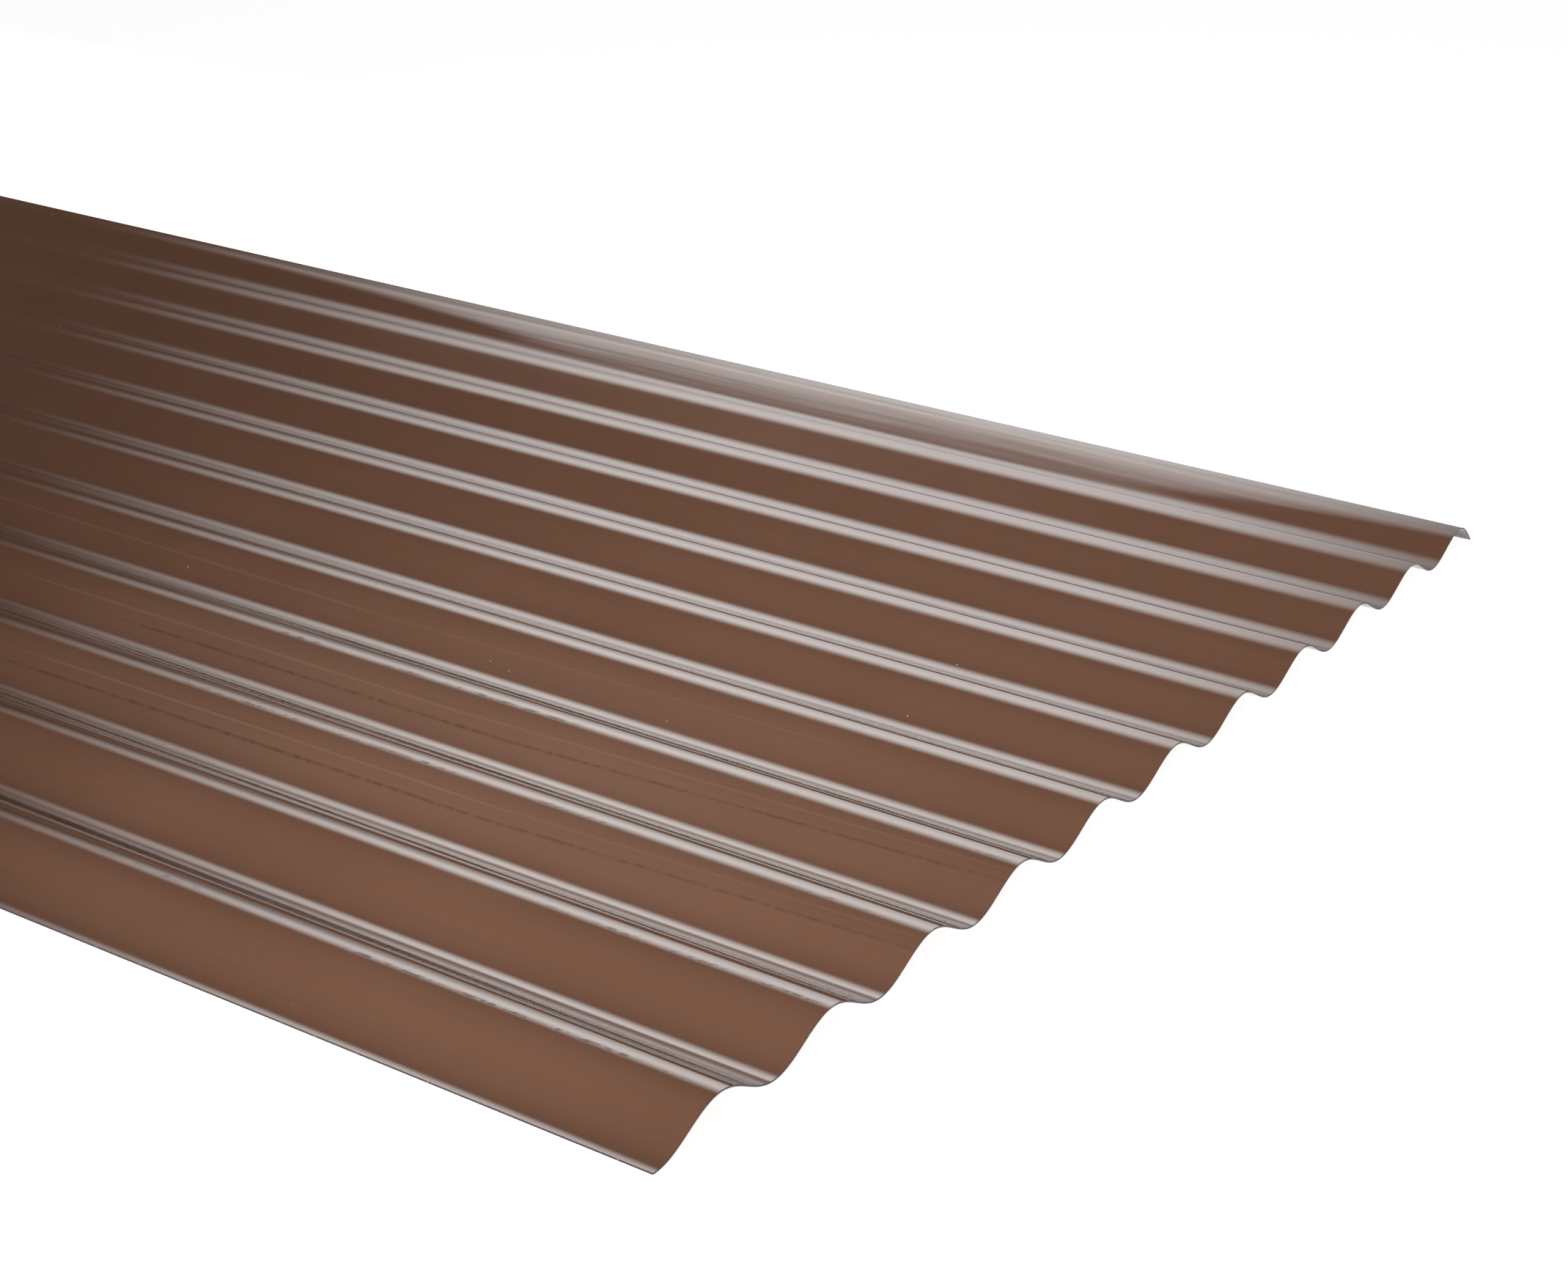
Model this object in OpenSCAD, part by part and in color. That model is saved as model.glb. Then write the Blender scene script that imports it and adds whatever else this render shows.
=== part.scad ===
// Corrugated polycarbonate roofing sheet, lying flat on its troughs.
// X runs across the waves, Y along them and Z up. The origin is in the middle of the
// sheet's footprint, level with the underside of the troughs.

/* [Sheet] */
// Length of the sheet, along its waves
sheet_length = 2000; // [300:10:6000]
// Thickness of the wall, square to its faces
wall = 0.8; // [0.5:0.1:3]

/* [Waves] */
// Distance from one crest to the next
wave_pitch = 76; // [50:1:180]
// Depth of the waves, from the bottom of a trough to the top of a crest on the same face
wave_depth = 13.2; // [6:0.1:40]
// Number of crests across the sheet
crest_count = 11; // [2:1:16]

/* [Long edges] */
// Width of the near edge's lip, outwards from the bottom of the first trough
near_lip_width = 2.7; // [0:0.1:15]
// Width of the far edge's lip, outwards from the top of the last crest
far_lip_width = 22.8; // [15:0.1:40]
// How much higher the far edge ends than the bottom of a trough
far_edge_lift = 0.2; // [0:0.1:5]

/* [Hidden] */

// Flat facets to one wave: an even number, so that a facet lies level on every crest and trough
wave_facets = 40;
// Flat facets across the far edge's lip
lip_facets = 12;

facet_width = wave_pitch / wave_facets;
lip_facet_width = far_lip_width / lip_facets;
// The first trough's bottom is at x = 0 while the section is drawn
last_crest_x = (crest_count - 0.5) * wave_pitch;
last_crest_facets = last_crest_x / facet_width;
// Facets that fit whole on the near lip, with a quarter of one to spare at its edge
near_lip_facets = floor(near_lip_width / facet_width + 0.25);
far_lip_drop = wave_depth - far_edge_lift;

// Places across the sheet where one facet meets the next
wave_stations = [for (i = [-near_lip_facets : last_crest_facets - 1]) (i + 0.5) * facet_width];
lip_stations = [for (i = [0 : lip_facets - 1]) last_crest_x + (i + 0.5) * lip_facet_width];
stations = concat([-near_lip_width], wave_stations, lip_stations, [last_crest_x + far_lip_width]);

// Height of the middle of the wall: a cosine wave, then a quarter wave down the far lip
function wave_height(x) = wave_depth * (1 - cos(360 * x / wave_pitch)) / 2;
function lip_height(s) = wave_depth - far_lip_drop * (1 - cos(90 * s / far_lip_width));
function middle_height(x) = x <= last_crest_x ? wave_height(x) : lip_height(x - last_crest_x);

// Rise over run of the same curves, where 180 / PI turns degrees into radians
function wave_slope(x) = PI * wave_depth / wave_pitch * sin(360 * x / wave_pitch);
function lip_slope(s) = -PI / 2 * far_lip_drop / far_lip_width * sin(90 * s / far_lip_width);
function middle_slope(x) = x <= last_crest_x ? wave_slope(x) : lip_slope(x - last_crest_x);

// A point half a wall away from the middle, square to the wall: side is 1 above and -1 below
function face_point(x, side) =
    let (tilt = atan(middle_slope(x)))
    [x - side * wall / 2 * sin(tilt), middle_height(x) + side * wall / 2 * cos(tilt)];

upper_face = [for (x = stations) face_point(x, 1)];
lower_face = [for (i = [len(stations) - 1 : -1 : 0]) face_point(stations[i], -1)];
section = concat(upper_face, lower_face);

section_xs = [for (point = section) point[0]];
section_zs = [for (point = section) point[1]];
section_middle = (min(section_xs) + max(section_xs)) / 2;
section_bottom = min(section_zs);

module corrugated_sheet() {
    color([0.45, 0.31, 0.24])
        rotate([90, 0, 0])
            linear_extrude(height = sheet_length, center = true)
                translate([-section_middle, -section_bottom])
                    polygon(section);
}

corrugated_sheet();
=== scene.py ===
import math

import bpy
import numpy as np
from mathutils import Matrix, Vector


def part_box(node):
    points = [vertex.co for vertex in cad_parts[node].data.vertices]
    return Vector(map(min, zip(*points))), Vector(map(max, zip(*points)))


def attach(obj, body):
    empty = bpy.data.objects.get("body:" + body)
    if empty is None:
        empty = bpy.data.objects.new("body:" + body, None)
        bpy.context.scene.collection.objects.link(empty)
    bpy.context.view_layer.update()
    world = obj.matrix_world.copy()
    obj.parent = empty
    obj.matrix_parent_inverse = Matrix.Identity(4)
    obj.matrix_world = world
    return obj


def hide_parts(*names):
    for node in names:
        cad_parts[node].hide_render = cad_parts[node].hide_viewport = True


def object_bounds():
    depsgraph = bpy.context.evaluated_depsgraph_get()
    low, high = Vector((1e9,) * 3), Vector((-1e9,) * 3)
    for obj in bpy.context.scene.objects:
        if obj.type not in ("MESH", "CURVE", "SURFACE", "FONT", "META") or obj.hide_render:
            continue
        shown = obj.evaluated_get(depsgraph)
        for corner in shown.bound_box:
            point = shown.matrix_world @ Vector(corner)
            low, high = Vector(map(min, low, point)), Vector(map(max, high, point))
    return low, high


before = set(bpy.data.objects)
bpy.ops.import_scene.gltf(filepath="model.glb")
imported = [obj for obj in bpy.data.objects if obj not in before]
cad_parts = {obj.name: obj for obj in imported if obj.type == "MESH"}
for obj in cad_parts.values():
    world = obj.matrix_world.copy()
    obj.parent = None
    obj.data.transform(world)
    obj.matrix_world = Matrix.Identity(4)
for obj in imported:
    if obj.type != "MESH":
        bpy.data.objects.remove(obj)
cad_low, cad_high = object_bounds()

# The scene dresses one piece of stock: a long brown corrugated polycarbonate sheet that lies flat on a
# pale floor. X runs across the waves, Y along them and Z up. All lengths are in metres.

SHEET_NODE = "corrugated_sheet"

# The section of the sheet
WALL = 0.0008
WAVE_PITCH = 0.076
CREST_COUNT = 11
NEAR_LIP = 0.0027
FAR_LIP = 0.0228
FAR_LIP_DROP = 0.0130
EDGE_BREAK = 0.00008
# How finely the mesh follows it: stations to a wave and across the far lip, rows along the sheet, and the
# angle in degrees from which an edge is sharp
WAVE_STATIONS = 46
LIP_STATIONS = 14
LENGTH_ROWS = 84
SHARP_ANGLE = 25
# The slight unevenness of an extruded sheet: reach across, reach along, turn and size of each slow wave
SLOW_WAVES = (
    (0.410, 1.30, 0.4, 0.000050),
    (0.173, 0.83, 1.9, 0.000035),
    (0.097, 0.61, 3.3, 0.000030),
    (0.059, 1.10, 5.1, 0.000018),
)
# How many times its turn each slow wave is shifted by along the sheet, and how far it sways there
SLOW_WAVE_TURN = 2.3
SLOW_WAVE_SWAY = 0.8


def lay_out_section(wave_depth):
    """Middle line of the wall: places, heights and slopes, from the near lip to the far lip."""
    last_crest = (CREST_COUNT - 0.5) * WAVE_PITCH
    wave_span = last_crest + NEAR_LIP
    wave_steps = int(round(wave_span / WAVE_PITCH * WAVE_STATIONS))
    across = np.linspace(-NEAR_LIP, last_crest, wave_steps + 1)
    wave_angle = 2 * math.pi * across / WAVE_PITCH
    height = wave_depth * (1 - np.cos(wave_angle)) / 2
    slope = math.pi * wave_depth / WAVE_PITCH * np.sin(wave_angle)
    past_crest = np.linspace(0, FAR_LIP, LIP_STATIONS + 1)[1:]
    lip_angle = math.pi / 2 * past_crest / FAR_LIP
    lip_height = wave_depth - FAR_LIP_DROP * (1 - np.cos(lip_angle))
    lip_slope = -math.pi / 2 * FAR_LIP_DROP / FAR_LIP * np.sin(lip_angle)
    across = np.concatenate([across, last_crest + past_crest])
    height = np.concatenate([height, lip_height])
    slope = np.concatenate([slope, lip_slope])
    return across, height, slope


def add_edge_stations(across, height, slope):
    """A station a hair inside each long edge carries the broken arris."""
    near_run = EDGE_BREAK * math.cos(math.atan(slope[0]))
    far_run = EDGE_BREAK * math.cos(math.atan(slope[-1]))
    near_place = across[0] + near_run
    far_place = across[-1] - far_run
    near_height = height[0] + near_run * slope[0]
    far_height = height[-1] - far_run * slope[-1]
    across = np.concatenate([across[:1], [near_place], across[1:-1], [far_place], across[-1:]])
    height = np.concatenate([height[:1], [near_height], height[1:-1], [far_height], height[-1:]])
    slope = np.concatenate([slope[:1], slope[:1], slope[1:-1], slope[-1:], slope[-1:]])
    return across, height, slope


def lay_out_rows(length):
    """Places along the sheet, with a row a hair inside each cut end."""
    inner = np.linspace(-length / 2 + EDGE_BREAK, length / 2 - EDGE_BREAK, LENGTH_ROWS + 1)
    return np.concatenate([[-length / 2], inner, [length / 2]])


def slow_drift(across, along):
    """Heights by which the waves aren't quite equal and wander along the length."""
    drift = np.zeros((len(along), len(across)))
    for reach_across, reach_along, turn, size in SLOW_WAVES:
        phase_across = 2 * math.pi * across / reach_across + turn
        phase_along = 2 * math.pi * along / reach_along + SLOW_WAVE_TURN * turn
        drift += size * np.sin(phase_across[None, :] + SLOW_WAVE_SWAY * np.sin(phase_along)[:, None])
    return drift


def sheet_points(low, high):
    """Points of both faces, as rows along the sheet, stations across it, and (upper, lower)."""
    across, height, slope = add_edge_stations(*lay_out_section(high.z - low.z - WALL))
    along = lay_out_rows(high.y - low.y)
    tilt = np.arctan(slope)
    half_wall = np.full((len(along), len(across)), WALL / 2)
    half_wall[:, [0, -1]] -= EDGE_BREAK
    half_wall[[0, -1], :] -= EDGE_BREAK
    middle_height = height[None, :] + slow_drift(across, along)
    points = np.zeros((len(along), len(across), 2, 3))
    for side, sign in ((0, 1), (1, -1)):
        points[:, :, side, 0] = across[None, :] - sign * half_wall * np.sin(tilt)[None, :]
        points[:, :, side, 1] = along[:, None]
        points[:, :, side, 2] = middle_height + sign * half_wall * np.cos(tilt)[None, :]
    flat = points.reshape(-1, 3)
    smallest, largest = flat.min(0), flat.max(0)
    flat -= smallest
    flat *= (np.array(high) - np.array(low)) / (largest - smallest)
    flat += np.array(low)
    return points


def sheet_faces(rows, stations):
    """Quads of the closed sheet, and for each whether it belongs to a sawn edge."""
    number = np.arange(rows * stations * 2).reshape(rows, stations, 2)
    upper, lower = number[:, :, 0], number[:, :, 1]
    quads, sawn = [], []

    def add(a, b, c, d, is_sawn):
        block = np.stack([a.ravel(), b.ravel(), c.ravel(), d.ravel()], axis=1)
        quads.append(block)
        sawn.append(np.broadcast_to(is_sawn, a.shape).ravel())

    rim = np.zeros((rows - 1, stations - 1), bool)
    rim[[0, -1], :] = True
    rim[:, [0, -1]] = True
    add(upper[:-1, :-1], upper[:-1, 1:], upper[1:, 1:], upper[1:, :-1], rim)
    add(lower[:-1, :-1], lower[1:, :-1], lower[1:, 1:], lower[:-1, 1:], rim)
    add(lower[0, :-1], lower[0, 1:], upper[0, 1:], upper[0, :-1], True)
    add(lower[-1, :-1], upper[-1, :-1], upper[-1, 1:], lower[-1, 1:], True)
    add(lower[:-1, 0], upper[:-1, 0], upper[1:, 0], lower[1:, 0], True)
    add(lower[:-1, -1], lower[1:, -1], upper[1:, -1], upper[:-1, -1], True)
    return np.concatenate(quads), np.concatenate(sawn)


def make_sheet():
    """The whole sheet as one closed mesh, in the place of the CAD solid."""
    low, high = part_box(SHEET_NODE)
    points = sheet_points(low, high)
    rows, stations = points.shape[:2]
    quads, sawn = sheet_faces(rows, stations)
    mesh = bpy.data.meshes.new("polycarbonate_sheet")
    mesh.from_pydata(points.reshape(-1, 3).tolist(), [], quads.tolist())
    mesh.materials.append(skin_material())
    # The sawn faces take the edge material, darkened partly as painted shade
    mesh.materials.append(sawn_tint_and_shade_material())
    mesh.polygons.foreach_set("material_index", sawn.astype(np.int32))
    mesh.polygons.foreach_set("use_smooth", np.ones(len(quads), bool))
    mesh.set_sharp_from_angle(angle=math.radians(SHARP_ANGLE))
    mesh.update()
    sheet = bpy.data.objects.new("polycarbonate_sheet", mesh)
    bpy.context.scene.collection.objects.link(sheet)
    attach(sheet, "root")
    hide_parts(SHEET_NODE)
    return sheet


# Materials

# Waves are counted from the near trough: 2.5 is the crest of the third wave. A phase is a part of one wave:
# 0 in its near trough, 0.5 on its crest. Lengths along the sheet are metres from the near cut end.
FIRST_TROUGH = cad_low.x + NEAR_LIP
POLYCARBONATE_IOR = 1.586
# Drawing has pulled the patterns out along the sheet: they are this much finer across it than along it
DRAW_STRETCH = 0.02

# Colours of the skin and of what marks it. The pale colour serves both for the pale streaks and for painted
# sheen
DEEP_BROWN = (0.170, 0.0825, 0.0505, 1)
PALE_BROWN = (0.188, 0.0925, 0.0580, 1)
PAINTED_SHEEN_AND_STREAK_COLOUR = (0.46, 0.32, 0.245, 1)
STREAK_COLOUR = (0.075, 0.040, 0.030, 1)
RUB_COLOUR = (0.11, 0.09, 0.088, 1)
DUST_COLOUR = (0.50, 0.42, 0.38, 1)

# A pattern is a noise of so many spots a metre. Most of it lies in the span. A step is where it turns from
# ground to mark, and a least is how strong the mark still is on the ground.
NOISE_SPAN = (0.3, 0.7)
COLOUR_CLOUDS = 11
COLOUR_LINES = 330
LINE_SHARE = 0.38
DASHES = 170
DASH_STEP = (0.38, 0.60)
DASH_LEAST = 0.25

# Roughness of the skin, what clouds and lines change in it, and what rubs and dust add to it
SKIN_ROUGHNESS = 0.09
GLOSS_CLOUDS = 17
GLOSS_CLOUD_CHANGE = (-0.02, 0.03)
GLOSS_LINES = 420
GLOSS_LINE_CHANGE = (-0.01, 0.02)
RUB_ROUGHNESS = 0.50
DUST_ROUGHNESS = 0.4

# Draw lines: fine ridges that run all the way along, and stand out on the back flanks
LINES = 520
LINE_STRETCH = 0.004
LINE_HEIGHT = 0.000020
LINE_ELSEWHERE = 0.25
LINED_FLANK = (0.67, 0.92)
LINED_BLUR = 0.02

# Dust: cells a metre, size of a speck in cells, and the chance above which a cell has one
SPECK_CELLS = 55
SPECK_SIZE = (0.016, 0.032)
SPECK_CHANCE = 0.72

# Rubbed flecks: strokes and patches a metre, how the strokes slant and stretch, and the bands they lie in
RUB_STRENGTH = 0.75
FLECKS = 420
FLECK_STEP = (0.48, 0.55)
FLECK_PATCHES = 45
PATCH_STEP = (0.36, 0.50)
PATCH_LEAST = 0.35
FLECK_SLANT = 0.30
FLECK_STRETCH = 0.33
RUB_HALF_WIDTH = 0.013
RUB_BLUR = 0.010
RUB_END_BLUR = 0.012
# wave, phase, start, end, amount
CREST_RUBS = (
    (0, 0.497, 0.0, 0.175, 1.0),
    (0, 0.525, 0.255, 0.310, 0.6),
    (1, 0.489, 0.0, 0.135, 0.85),
    (2, 0.480, 0.025, 0.065, 0.7),
    (2, 0.480, 0.150, 0.200, 0.7),
    (2, 0.480, 0.240, 0.315, 0.8),
    (2, 0.484, 0.330, 0.405, 0.7),
    (3, 0.470, 0.0, 0.030, 0.5),
    (3, 0.468, 0.225, 0.310, 0.8),
    (3, 0.468, 0.325, 0.355, 0.8),
    (3, 0.470, 0.390, 0.415, 0.8),
)

# Lines that wander across a front flank: wave, phases at the start and end, start, end, width, amount
STREAK_END_BLUR = 0.03
DARK_STREAKS = (
    (2, 0.33, 0.24, 0.0, 0.22, 0.017, 0.46),
    (2, 0.24, 0.215, 0.22, 0.50, 0.017, 0.64),
    (3, 0.32, 0.205, 0.0, 0.26, 0.016, 0.50),
    (3, 0.205, 0.185, 0.26, 0.50, 0.017, 0.58),
)
PALE_STREAKS = (
    (2, 0.41, 0.33, 0.0, 0.22, 0.014, 0.06),
    (2, 0.33, 0.31, 0.22, 0.50, 0.014, 0.13),
    (3, 0.40, 0.29, 0.0, 0.30, 0.014, 0.08),
    (3, 0.29, 0.28, 0.30, 0.58, 0.014, 0.11),
    (4, 0.31, 0.25, 0.12, 0.40, 0.014, 0.06),
    (4, 0.25, 0.27, 0.40, 0.70, 0.014, 0.10),
)

# Pale clouds of painted sheen that lighten parts of the flanks, which fade between two parts of their reach
# and are mottled
SHEEN_CLOUD_FADE = (0.2, 1.0)
MOTTLE = 55
MOTTLE_STEP = (0.35, 0.65)
MOTTLE_LEAST = 0.6
# wave, along, reach across in waves, reach along, amount
PAINTED_SHEEN_CLOUDS = (
    (3.1, 0.27, 2.0, 0.34, 0.075),
    (9.2, 0.50, 1.0, 0.38, 0.120),
    (1.45, 0.17, 0.12, 0.03, 0.04),
)

# The last front flank was drawn flatter than the others, with a quick turn below its crest. Slopes are rises
# across the waves. The flatter part starts and ends at a length plus so much a phase, so the higher it lies,
# the further it reaches both ways.
LAST_WAVE = CREST_COUNT - 1
FLAT_SLOPES = (0.392, 0.295)
FLAT_PHASES = (0.12, 0.36)
FLAT_SPAN = (0.09, 0.51)
FLAT_SPAN_BLUR = 0.03
CREST_SLOPE = -0.08
CREST_TURN = (0.365, 0.43)
FLAT_START = (0.27, -0.67)
FLAT_END = (0.53, 0.875)
FLAT_START_BLUR = 0.085
FLAT_END_BLUR = 0.14
FLAT_STREAKS = 300
FLAT_STREAK_STEP = (0.35, 0.65)
FLAT_STREAK_LEAST = 0.80

# The first back flanks are a little steep along a band that drifts down them: wave, phase of the band at the
# near end, drift a metre, half of its width in waves, and the slope it adds
STEEP_BANDS = (
    (0, 0.670, 0.50, 0.100, -0.090),
    (1, 0.715, 0.43, 0.045, -0.090),
    (2, 0.780, 0.31, 0.045, -0.080),
    (3, 0.810, 0.25, 0.045, -0.070),
)

# The sawn edges, darkened partly as the tinted edge's own colour and partly as painted shade of the unlit
# cut: marks and nicks a metre
SAWN_TINT_AND_SHADE_DARK = (0.026, 0.015, 0.016, 1)
SAWN_TINT_AND_SHADE_PALE = (0.050, 0.030, 0.030, 1)
NICK_COLOUR = (0.35, 0.30, 0.29, 1)
SAW_MARKS = 1400
SAW_NICKS = 420
NICK_STEP = (0.62, 0.68)
SAW_MARK_DEPTH = 0.00004
SAWN_ROUGHNESS = (0.37, 0.57)
NICK_GLOSS = 0.25


def new_material(name):
    material = bpy.data.materials.new(name)
    material.use_nodes = True
    nodes = material.node_tree.nodes
    nodes.clear()
    output = nodes.new("ShaderNodeOutputMaterial")
    shader = nodes.new("ShaderNodeBsdfPrincipled")
    material.node_tree.links.new(shader.outputs["BSDF"], output.inputs["Surface"])
    return material, shader


def map_range(tree, source, low, high, low_value, high_value, smooth=True):
    """A step from one value to another, soft unless it is asked for straight."""
    node = tree.nodes.new("ShaderNodeMapRange")
    node.interpolation_type = "SMOOTHSTEP" if smooth else "LINEAR"
    node.inputs["From Min"].default_value = low
    node.inputs["From Max"].default_value = high
    node.inputs["To Min"].default_value = low_value
    node.inputs["To Max"].default_value = high_value
    tree.links.new(source, node.inputs["Value"])
    return node.outputs["Result"]


def maths(tree, operation, *values):
    """A Math node over numbers and sockets."""
    node = tree.nodes.new("ShaderNodeMath")
    node.operation = operation
    for socket, value in zip(node.inputs, values):
        if isinstance(value, (int, float)):
            socket.default_value = value
        else:
            tree.links.new(value, socket)
    return node.outputs[0]


def multiply(tree, a, b):
    return maths(tree, "MULTIPLY", a, b)


def window(tree, source, low, high, blur):
    """1 between two values and 0 outside them, with soft sides."""
    opening = map_range(tree, source, low - blur, low + blur, 0, 1)
    closing = map_range(tree, source, high - blur, high + blur, 1, 0)
    return multiply(tree, opening, closing)


def add_up(tree, sockets):
    total = sockets[0]
    for socket in sockets[1:]:
        total = maths(tree, "ADD", total, socket)
    return total


def noise(tree, across, along, scale, detail=2.0, roughness=0.5, seed=0.0):
    """Noise over two lengths in metres, at so many spots a metre."""
    vector = tree.nodes.new("ShaderNodeCombineXYZ")
    tree.links.new(across, vector.inputs[0])
    tree.links.new(along, vector.inputs[1])
    vector.inputs[2].default_value = seed
    node = tree.nodes.new("ShaderNodeTexNoise")
    node.inputs["Scale"].default_value = scale
    node.inputs["Detail"].default_value = detail
    node.inputs["Roughness"].default_value = roughness
    tree.links.new(vector.outputs[0], node.inputs["Vector"])
    return node.outputs["Fac"]


def blend(tree, factor, first, second):
    """A colour between two others. Each is four numbers or a socket."""
    node = tree.nodes.new("ShaderNodeMix")
    node.data_type = "RGBA"
    tree.links.new(factor, node.inputs["Factor"])
    for name, value in (("A", first), ("B", second)):
        socket = [one for one in node.inputs if one.name == name and one.type == "RGBA"][0]
        if isinstance(value, tuple):
            socket.default_value = value
        else:
            tree.links.new(value, socket)
    return [one for one in node.outputs if one.type == "RGBA"][0]


class Place:
    """Where a point of the sheet lies, as sockets: in metres, in waves, and drawn out along the sheet."""

    def __init__(self, tree):
        coordinates = tree.nodes.new("ShaderNodeTexCoord")
        split = tree.nodes.new("ShaderNodeSeparateXYZ")
        tree.links.new(coordinates.outputs["Object"], split.inputs[0])
        self.x = split.outputs["X"]
        self.y = split.outputs["Y"]
        self.waves = maths(tree, "MULTIPLY_ADD", self.x, 1 / WAVE_PITCH, -FIRST_TROUGH / WAVE_PITCH)
        self.phase = maths(tree, "FRACT", self.waves)
        self.along = maths(tree, "SUBTRACT", self.y, cad_low.y)
        self.drawn = maths(tree, "MULTIPLY", self.y, DRAW_STRETCH)


def crest_flecks(tree, place):
    """Short slanting rubs along the front of the first crests, where the sheet was handled and stacked."""
    slanted = maths(tree, "MULTIPLY_ADD", place.y, FLECK_SLANT, place.x)
    squeezed = maths(tree, "MULTIPLY", place.y, FLECK_STRETCH)
    strokes = map_range(tree, noise(tree, slanted, squeezed, FLECKS, 3, 0.6, seed=4), *FLECK_STEP, 0, 1)
    spots = noise(tree, place.x, place.y, FLECK_PATCHES, 2, 0.5, seed=7)
    patches = map_range(tree, spots, *PATCH_STEP, PATCH_LEAST, 1)
    bands = []
    for wave, phase, start, end, amount in CREST_RUBS:
        middle = wave + phase
        band = window(tree, place.waves, middle - RUB_HALF_WIDTH, middle + RUB_HALF_WIDTH, RUB_BLUR)
        reach = window(tree, place.along, start, end, RUB_END_BLUR)
        bands.append(maths(tree, "MULTIPLY", multiply(tree, band, reach), amount))
    return multiply(tree, multiply(tree, strokes, patches), add_up(tree, bands))


def draw_streaks(tree, place, rows):
    """Thin lines that wander across a flank."""
    lines = []
    for wave, start_phase, end_phase, start, end, width, amount in rows:
        run = map_range(tree, place.along, start, end, wave + start_phase, wave + end_phase, smooth=False)
        away = maths(tree, "ABSOLUTE", maths(tree, "SUBTRACT", place.waves, run))
        line = map_range(tree, away, 0, width, amount, 0)
        lines.append(multiply(tree, line, window(tree, place.along, start, end, STREAK_END_BLUR)))
    return add_up(tree, lines)


def dust(tree, place):
    """Sparse pale specks."""
    vector = tree.nodes.new("ShaderNodeCombineXYZ")
    tree.links.new(place.x, vector.inputs[0])
    tree.links.new(place.y, vector.inputs[1])
    cells = tree.nodes.new("ShaderNodeTexVoronoi")
    cells.inputs["Scale"].default_value = SPECK_CELLS
    tree.links.new(vector.outputs[0], cells.inputs["Vector"])
    chance = tree.nodes.new("ShaderNodeSeparateColor")
    tree.links.new(cells.outputs["Color"], chance.inputs[0])
    core = map_range(tree, cells.outputs["Distance"], *SPECK_SIZE, 1, 0)
    kept = maths(tree, "GREATER_THAN", chance.outputs[0], SPECK_CHANCE)
    return multiply(tree, core, kept)


def painted_sheen(tree, place):
    """Broad pale clouds of painted sheen that lighten parts of the flanks, as an amount."""
    clouds = []
    for wave, along, reach_waves, reach_along, amount in PAINTED_SHEEN_CLOUDS:
        across = maths(tree, "MULTIPLY_ADD", place.waves, 1 / reach_waves, -wave / reach_waves)
        down = maths(tree, "MULTIPLY_ADD", place.along, 1 / reach_along, -along / reach_along)
        squares = maths(tree, "ADD", multiply(tree, across, across), multiply(tree, down, down))
        clouds.append(map_range(tree, maths(tree, "SQRT", squares), *SHEEN_CLOUD_FADE, amount, 0))
    spots = noise(tree, place.x, place.drawn, MOTTLE, 3, 0.6, seed=9)
    mottle = map_range(tree, spots, *MOTTLE_STEP, MOTTLE_LEAST, 1, smooth=False)
    return multiply(tree, add_up(tree, clouds), mottle)


def skin_colour(tree, place, flecks, specks):
    """Brown with clouds and draw lines and pale clouds of painted sheen, then its streaks, rubs and dust
    over that.
    """
    clouds = noise(tree, place.x, place.y, COLOUR_CLOUDS, 3, 0.55, seed=1)
    lines = noise(tree, place.x, place.drawn, COLOUR_LINES, 2, 0.5, seed=3)
    cloud_part = maths(tree, "MULTIPLY", clouds, 1 - LINE_SHARE)
    shade = maths(tree, "ADD", cloud_part, maths(tree, "MULTIPLY", lines, LINE_SHARE))
    colour = blend(tree, map_range(tree, shade, *NOISE_SPAN, 0, 1, smooth=False), DEEP_BROWN, PALE_BROWN)
    # Pale clouds of painted sheen lighten parts of the flanks
    colour = blend(tree, painted_sheen(tree, place), colour, PAINTED_SHEEN_AND_STREAK_COLOUR)
    spots = noise(tree, place.x, place.y, DASHES, 3, 0.7, seed=2)
    dashes = map_range(tree, spots, *DASH_STEP, DASH_LEAST, 1)
    dark = multiply(tree, dashes, draw_streaks(tree, place, DARK_STREAKS))
    colour = blend(tree, dark, colour, STREAK_COLOUR)
    colour = blend(tree, draw_streaks(tree, place, PALE_STREAKS), colour, PAINTED_SHEEN_AND_STREAK_COLOUR)
    colour = blend(tree, maths(tree, "MULTIPLY", flecks, RUB_STRENGTH), colour, RUB_COLOUR)
    return blend(tree, specks, colour, DUST_COLOUR)


def skin_roughness(tree, place, flecks, specks):
    """Gloss that is a little uneven, and lost where the skin is rubbed or dusty."""
    cloudy = noise(tree, place.x, place.y, GLOSS_CLOUDS, 3, 0.6, seed=5)
    lined = noise(tree, place.x, place.drawn, GLOSS_LINES, 2, 0.5, seed=6)
    clouds = map_range(tree, cloudy, *NOISE_SPAN, *GLOSS_CLOUD_CHANGE, smooth=False)
    lines = map_range(tree, lined, *NOISE_SPAN, *GLOSS_LINE_CHANGE, smooth=False)
    plain = maths(tree, "ADD", maths(tree, "ADD", clouds, lines), SKIN_ROUGHNESS)
    rubbed = maths(tree, "MULTIPLY", flecks, RUB_ROUGHNESS)
    dusty = maths(tree, "MULTIPLY", specks, DUST_ROUGHNESS)
    return maths(tree, "ADD", maths(tree, "ADD", plain, rubbed), dusty)


def steep_bands(tree, place):
    """Height in metres of the bands that are out of true."""
    bands = []
    for wave, phase, drift, half_width, slope in STEEP_BANDS:
        middle = maths(tree, "MULTIPLY_ADD", place.along, drift, wave + phase)
        away = maths(tree, "SUBTRACT", place.waves, middle)
        rise = 2 * half_width * slope * WAVE_PITCH
        bands.append(map_range(tree, away, -half_width, half_width, 0, rise))
    return bands


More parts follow.
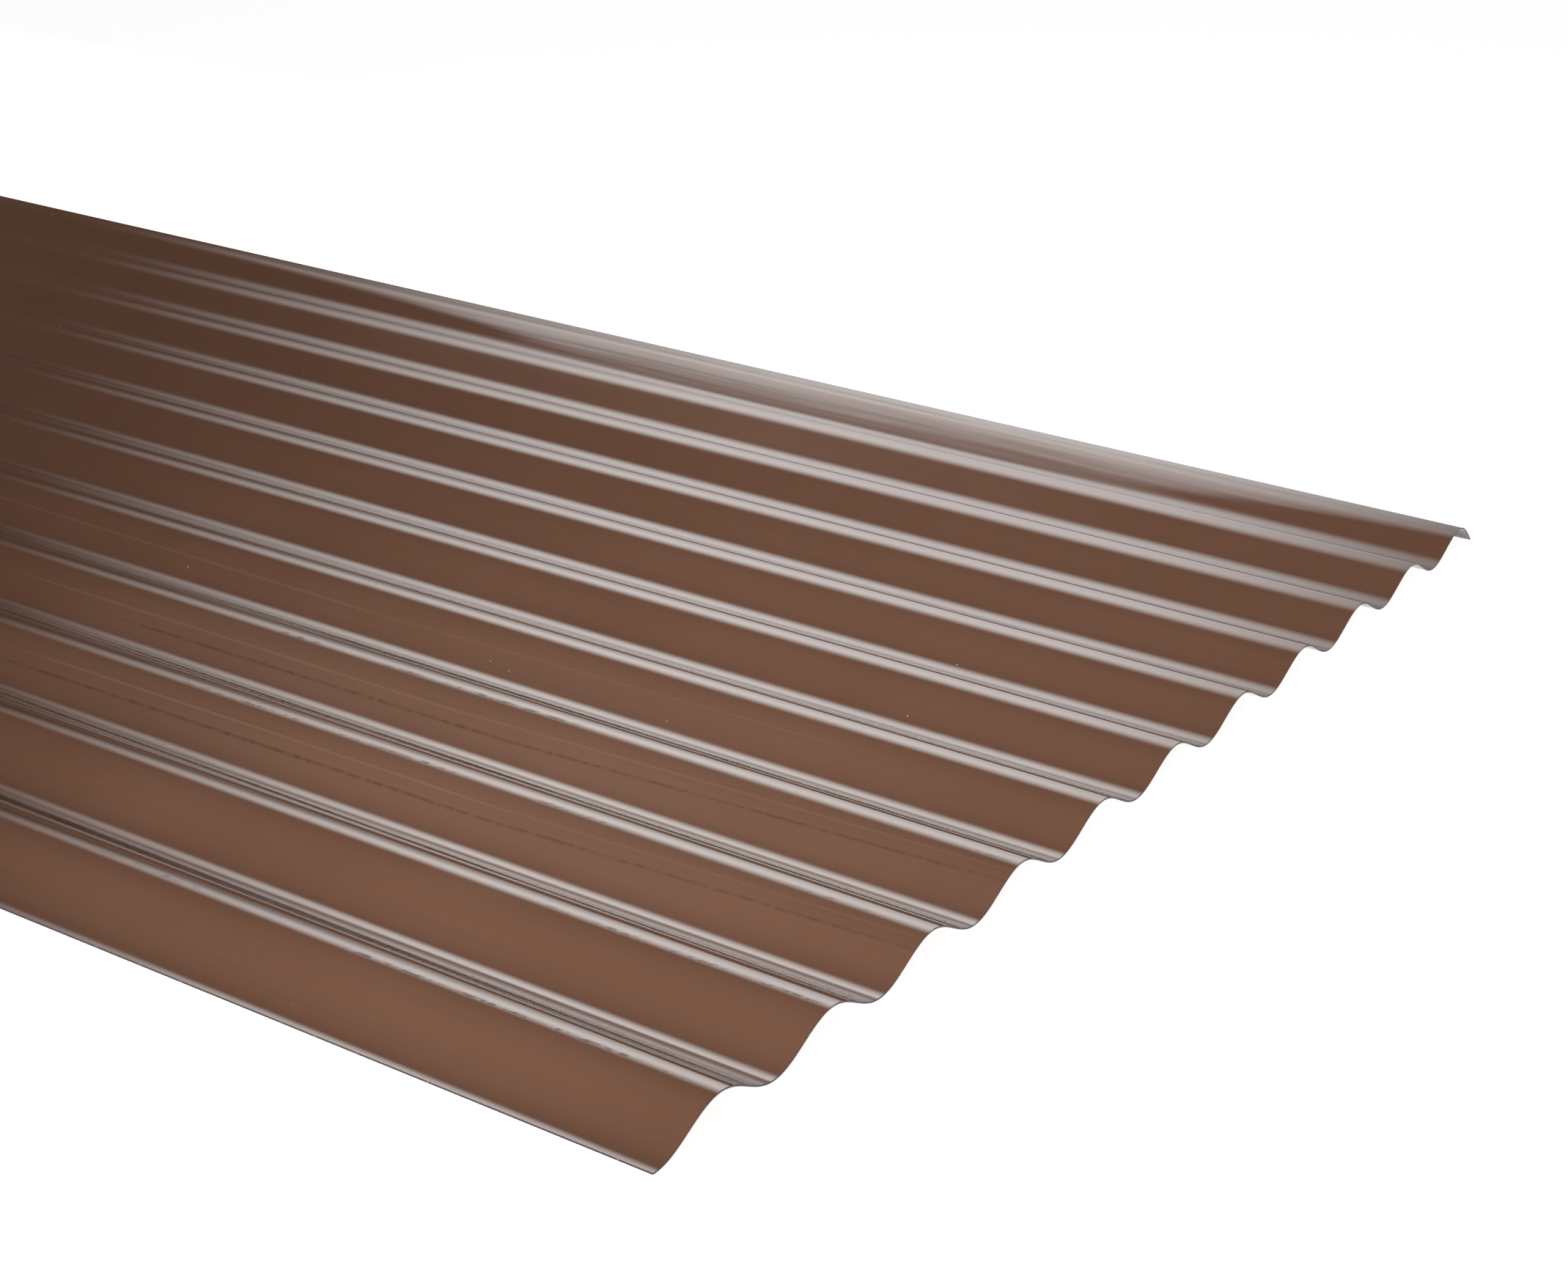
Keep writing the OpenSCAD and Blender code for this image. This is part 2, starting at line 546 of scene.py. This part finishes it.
def skin_relief(tree, place):
    """Height in metres of what is too slight to model: draw lines, and bands that are out of true."""
    along = maths(tree, "MULTIPLY", place.y, LINE_STRETCH)
    lines = maths(tree, "MULTIPLY", noise(tree, place.x, along, LINES, 2, 0.6, seed=8), LINE_HEIGHT)
    flank = window(tree, place.phase, *LINED_FLANK, LINED_BLUR)
    lined = maths(tree, "MULTIPLY_ADD", flank, 1 - LINE_ELSEWHERE, LINE_ELSEWHERE)
    return add_up(tree, [multiply(tree, lines, lined)] + steep_bands(tree, place))


def flank_normal(tree, place):
    """The surface's own normal, turned where the last front flank is flatter than it should be."""
    surface = tree.nodes.new("ShaderNodeNewGeometry")
    split = tree.nodes.new("ShaderNodeSeparateXYZ")
    tree.links.new(surface.outputs["Normal"], split.inputs[0])
    slope = maths(tree, "DIVIDE", split.outputs["X"], maths(tree, "MULTIPLY", split.outputs["Z"], -1.0))
    phase = maths(tree, "SUBTRACT", place.waves, LAST_WAVE)
    flat = map_range(tree, phase, *FLAT_PHASES, *FLAT_SLOPES, smooth=False)
    turn = map_range(tree, phase, *CREST_TURN, 0, 1)
    wanted = maths(tree, "ADD", flat, multiply(tree, turn, maths(tree, "SUBTRACT", CREST_SLOPE, flat)))
    start = maths(tree, "MULTIPLY_ADD", phase, FLAT_START[1], FLAT_START[0])
    end = maths(tree, "MULTIPLY_ADD", phase, FLAT_END[1], FLAT_END[0])
    past_start = maths(tree, "SUBTRACT", place.along, start)
    short_of_end = maths(tree, "SUBTRACT", end, place.along)
    after = map_range(tree, past_start, -FLAT_START_BLUR, FLAT_START_BLUR, 0, 1)
    before = map_range(tree, short_of_end, -FLAT_END_BLUR, FLAT_END_BLUR, 0, 1)
    across = window(tree, phase, *FLAT_SPAN, FLAT_SPAN_BLUR)
    streaks = noise(tree, place.x, place.drawn, FLAT_STREAKS, 2, 0.5, seed=11)
    kept = map_range(tree, streaks, *FLAT_STREAK_STEP, FLAT_STREAK_LEAST, 1, smooth=False)
    amount = multiply(tree, multiply(tree, across, kept), multiply(tree, after, before))
    change = multiply(tree, amount, maths(tree, "SUBTRACT", wanted, slope))
    new_slope = maths(tree, "ADD", slope, change)
    join = tree.nodes.new("ShaderNodeCombineXYZ")
    turned = maths(tree, "MULTIPLY", multiply(tree, new_slope, split.outputs["Z"]), -1.0)
    tree.links.new(turned, join.inputs[0])
    tree.links.new(split.outputs["Y"], join.inputs[1])
    tree.links.new(split.outputs["Z"], join.inputs[2])
    unit = tree.nodes.new("ShaderNodeVectorMath")
    unit.operation = "NORMALIZE"
    tree.links.new(join.outputs[0], unit.inputs[0])
    return unit.outputs[0]


def add_bump(tree, shader, height):
    """Relief of a height in metres."""
    bump = tree.nodes.new("ShaderNodeBump")
    bump.inputs["Strength"].default_value = 1
    bump.inputs["Distance"].default_value = 1
    tree.links.new(height, bump.inputs["Height"])
    tree.links.new(bump.outputs["Normal"], shader.inputs["Normal"])
    return bump


def skin_material():
    """Glossy brown outer skin, with the marks of drawing, stacking and handling, and pale clouds of painted
    sheen.
    """
    material, shader = new_material("polycarbonate_skin")
    tree = material.node_tree
    place = Place(tree)
    flecks = crest_flecks(tree, place)
    specks = dust(tree, place)
    tree.links.new(skin_colour(tree, place, flecks, specks), shader.inputs["Base Color"])
    tree.links.new(skin_roughness(tree, place, flecks, specks), shader.inputs["Roughness"])
    shader.inputs["IOR"].default_value = POLYCARBONATE_IOR
    bump = add_bump(tree, shader, skin_relief(tree, place))
    tree.links.new(flank_normal(tree, place), bump.inputs["Normal"])
    return material


def sawn_tint_and_shade_material():
    """The duller face of a sawn edge, darkened partly as its own tint and partly as painted shade, with saw
    marks across it and a few bright nicks.
    """
    material, shader = new_material("polycarbonate_sawn_tint_and_shade")
    tree = material.node_tree
    place = Place(tree)
    marks = noise(tree, place.x, place.y, SAW_MARKS, 3, 0.6, seed=1)
    nicks = map_range(tree, noise(tree, place.x, place.y, SAW_NICKS, 2, 0.6, seed=2), *NICK_STEP, 0, 1)
    grain = map_range(tree, marks, *NOISE_SPAN, 0, 1, smooth=False)
    colour = blend(tree, grain, SAWN_TINT_AND_SHADE_DARK, SAWN_TINT_AND_SHADE_PALE)
    tree.links.new(blend(tree, nicks, colour, NICK_COLOUR), shader.inputs["Base Color"])
    worn = map_range(tree, marks, *NOISE_SPAN, *SAWN_ROUGHNESS, smooth=False)
    tree.links.new(maths(tree, "MULTIPLY_ADD", nicks, -NICK_GLOSS, worn), shader.inputs["Roughness"])
    shader.inputs["IOR"].default_value = POLYCARBONATE_IOR
    add_bump(tree, shader, maths(tree, "MULTIPLY", marks, SAW_MARK_DEPTH))
    return material


# Surroundings

FLOOR_GAP = 0.0002
FLOOR_SIZE = 300
FLOOR_WHITE = (0.80, 0.80, 0.80, 1)
# What the floor adds where it is seen, towards white at 1
FLOOR_GLOW = 0.94
WORLD_GREY = (0.020, 0.020, 0.021, 1)


def floor_material():
    """White floor that shows as white to the camera and in reflections, and still takes the shadow."""
    material = bpy.data.materials.new("studio_floor")
    material.use_nodes = True
    tree = material.node_tree
    tree.nodes.clear()
    output = tree.nodes.new("ShaderNodeOutputMaterial")
    add = tree.nodes.new("ShaderNodeAddShader")
    matt = tree.nodes.new("ShaderNodeBsdfDiffuse")
    glow = tree.nodes.new("ShaderNodeEmission")
    rays = tree.nodes.new("ShaderNodeLightPath").outputs
    matt.inputs["Color"].default_value = FLOOR_WHITE
    glow.inputs["Color"].default_value = (1, 1, 1, 1)
    camera_or_glossy = maths(tree, "MAXIMUM", rays["Is Camera Ray"], rays["Is Glossy Ray"])
    any_seen = maths(tree, "MAXIMUM", camera_or_glossy, rays["Is Transmission Ray"])
    tree.links.new(maths(tree, "MULTIPLY", any_seen, FLOOR_GLOW), glow.inputs["Strength"])
    tree.links.new(matt.outputs[0], add.inputs[0])
    tree.links.new(glow.outputs[0], add.inputs[1])
    tree.links.new(add.outputs[0], output.inputs["Surface"])
    return material


def make_floor():
    half = FLOOR_SIZE / 2
    corners = [(-half, -half, 0), (half, -half, 0), (half, half, 0), (-half, half, 0)]
    mesh = bpy.data.meshes.new("floor")
    mesh.from_pydata(corners, [], [(0, 1, 2, 3)])
    mesh.materials.append(floor_material())
    floor = bpy.data.objects.new("floor", mesh)
    floor.location.z = cad_low.z - FLOOR_GAP
    bpy.context.scene.collection.objects.link(floor)
    return floor


def make_world():
    world = bpy.data.worlds.new("studio")
    world.use_nodes = True
    background = world.node_tree.nodes["Background"]
    background.inputs["Color"].default_value = WORLD_GREY
    background.inputs["Strength"].default_value = 1
    bpy.context.scene.world = world


def toward(azimuth, elevation):
    """Unit vector at an azimuth from +Y towards +X and an elevation above the floor, in degrees."""
    turn, rise = math.radians(azimuth), math.radians(elevation)
    return Vector((math.sin(turn) * math.cos(rise), math.cos(turn) * math.cos(rise), math.sin(rise)))


def add_lamp(name, place, aim, width, height, radiance, spread=180):
    """A soft rectangular lamp of a radiance along its axis. The spread narrows its beam, in degrees."""
    data = bpy.data.lights.new(name, "AREA")
    data.shape = "RECTANGLE"
    data.size = width
    data.size_y = height
    data.spread = math.radians(spread)
    half_spread = math.radians(spread / 2)
    gathering = 1 if spread >= 180 else math.tan(half_spread) / (math.tan(half_spread) - half_spread)
    data.energy = radiance * width * height * math.pi / gathering
    lamp = bpy.data.objects.new(name, data)
    lamp.location = place
    lamp.rotation_mode = "QUATERNION"
    lamp.rotation_quaternion = (Vector(aim) - Vector(place)).to_track_quat("-Z", "Y")
    lamp.visible_camera = False
    bpy.context.scene.collection.objects.link(lamp)
    return lamp


# The key softbox lights the near half from in front of the sheet, and the far one the far half from above
KEY_PLACE = (-1.114, -1.032, 0.602)
KEY_AZIMUTH = 79.9
KEY_ELEVATION = -12.5
KEY_SIZE = 0.45
KEY_SPREAD = 81
KEY_RADIANCE = 50.0

FAR_PLACE = (-0.45, 0.78, 1.50)
FAR_AIM = (-0.28, 0.72, 0.0)
FAR_SIZE = 0.6
FAR_SPREAD = 58
FAR_RADIANCE = 34.0

# The tall panel: brightness from its foot to its top in equal steps, and the places along the sheet between
# which its two ends fade at the foot. Further up, a fade lies further along, by its lean times the height.
PANEL_X = 0.973
PANEL_NEAR_END = -1.16
PANEL_FAR_END = 1.45
PANEL_HEIGHT = 1.35
PANEL_RADIANCE = 3.4
PANEL_LEVELS = (0.30, 0.44, 0.60, 0.82, 1.0, 0.99, 0.80, 0.51, 0.22, 0.0)
PANEL_NEAR_FADE = (-1.120, -0.540)
PANEL_NEAR_LEAN = 0.209
PANEL_FAR_FADE = (-0.549, 0.468)
PANEL_FAR_LEAN = 0.791


def make_lights():
    key_aim = Vector(KEY_PLACE) + toward(KEY_AZIMUTH, KEY_ELEVATION)
    add_lamp("key_softbox", KEY_PLACE, key_aim, KEY_SIZE, KEY_SIZE, KEY_RADIANCE, KEY_SPREAD)
    add_lamp("far_softbox", FAR_PLACE, FAR_AIM, FAR_SIZE, FAR_SIZE, FAR_RADIANCE, FAR_SPREAD)
    make_tall_panel()


def panel_brightness(tree):
    """Brightness over the tall panel, which fades towards its ends and top."""
    surface = tree.nodes.new("ShaderNodeNewGeometry")
    split = tree.nodes.new("ShaderNodeSeparateXYZ")
    tree.links.new(surface.outputs["Parametric"], split.inputs[0])
    along = map_range(tree, split.outputs["X"], 0, 1, PANEL_NEAR_END, PANEL_FAR_END, smooth=False)
    height = map_range(tree, split.outputs["Y"], 0, 1, 0, PANEL_HEIGHT, smooth=False)
    near_place = maths(tree, "MULTIPLY_ADD", height, -PANEL_NEAR_LEAN, along)
    far_place = maths(tree, "MULTIPLY_ADD", height, -PANEL_FAR_LEAN, along)
    near = map_range(tree, near_place, *PANEL_NEAR_FADE, 0, 1)
    far = map_range(tree, far_place, *PANEL_FAR_FADE, 1, 0)
    rise = tree.nodes.new("ShaderNodeValToRGB")
    steps = rise.color_ramp.elements
    while len(steps) < len(PANEL_LEVELS):
        steps.new(0.5)
    for number, level in enumerate(PANEL_LEVELS):
        steps[number].position = number / (len(PANEL_LEVELS) - 1)
        steps[number].color = (level, level, level, 1)
    tree.links.new(split.outputs["Y"], rise.inputs[0])
    return multiply(tree, rise.outputs["Color"], multiply(tree, near, far))


def make_tall_panel():
    """Light panel that stands beyond the far long edge and draws the highlights on the crests."""
    length = PANEL_FAR_END - PANEL_NEAR_END
    middle = (PANEL_FAR_END + PANEL_NEAR_END) / 2
    place = Vector((PANEL_X, middle, PANEL_HEIGHT / 2))
    lamp = add_lamp("tall_panel", place, place - Vector((1, 0, 0)), length, PANEL_HEIGHT, PANEL_RADIANCE)
    lamp.data.use_nodes = True
    tree = lamp.data.node_tree
    tree.nodes.clear()
    output = tree.nodes.new("ShaderNodeOutputLight")
    glow = tree.nodes.new("ShaderNodeEmission")
    tree.links.new(panel_brightness(tree), glow.inputs["Strength"])
    tree.links.new(glow.outputs[0], output.inputs["Surface"])


# Camera

# Azimuth is from +Y towards +X, and angles are in degrees
CAMERA_PLACE = (-1.0836, -1.4609, 0.5357)
CAMERA_AZIMUTH = 58.15
CAMERA_ELEVATION = -22.14
CAMERA_ROLL = 2.61
CAMERA_LENS = 63.08
SENSOR_WIDTH = 36


def make_camera():
    data = bpy.data.cameras.new("camera")
    data.sensor_width = SENSOR_WIDTH
    data.sensor_fit = "HORIZONTAL"
    data.lens = CAMERA_LENS
    data.clip_start = 0.01
    data.clip_end = 500
    camera = bpy.data.objects.new("camera", data)
    level = toward(CAMERA_AZIMUTH, CAMERA_ELEVATION).to_track_quat("-Z", "Y").to_matrix()
    rolled = level @ Matrix.Rotation(math.radians(CAMERA_ROLL), 3, "Z")
    camera.matrix_world = Matrix.Translation(CAMERA_PLACE) @ rolled.to_4x4()
    bpy.context.scene.collection.objects.link(camera)
    bpy.context.scene.camera = camera


make_sheet()
make_floor()
make_world()
make_lights()
make_camera()
bpy.context.scene.view_settings.view_transform = "Standard"
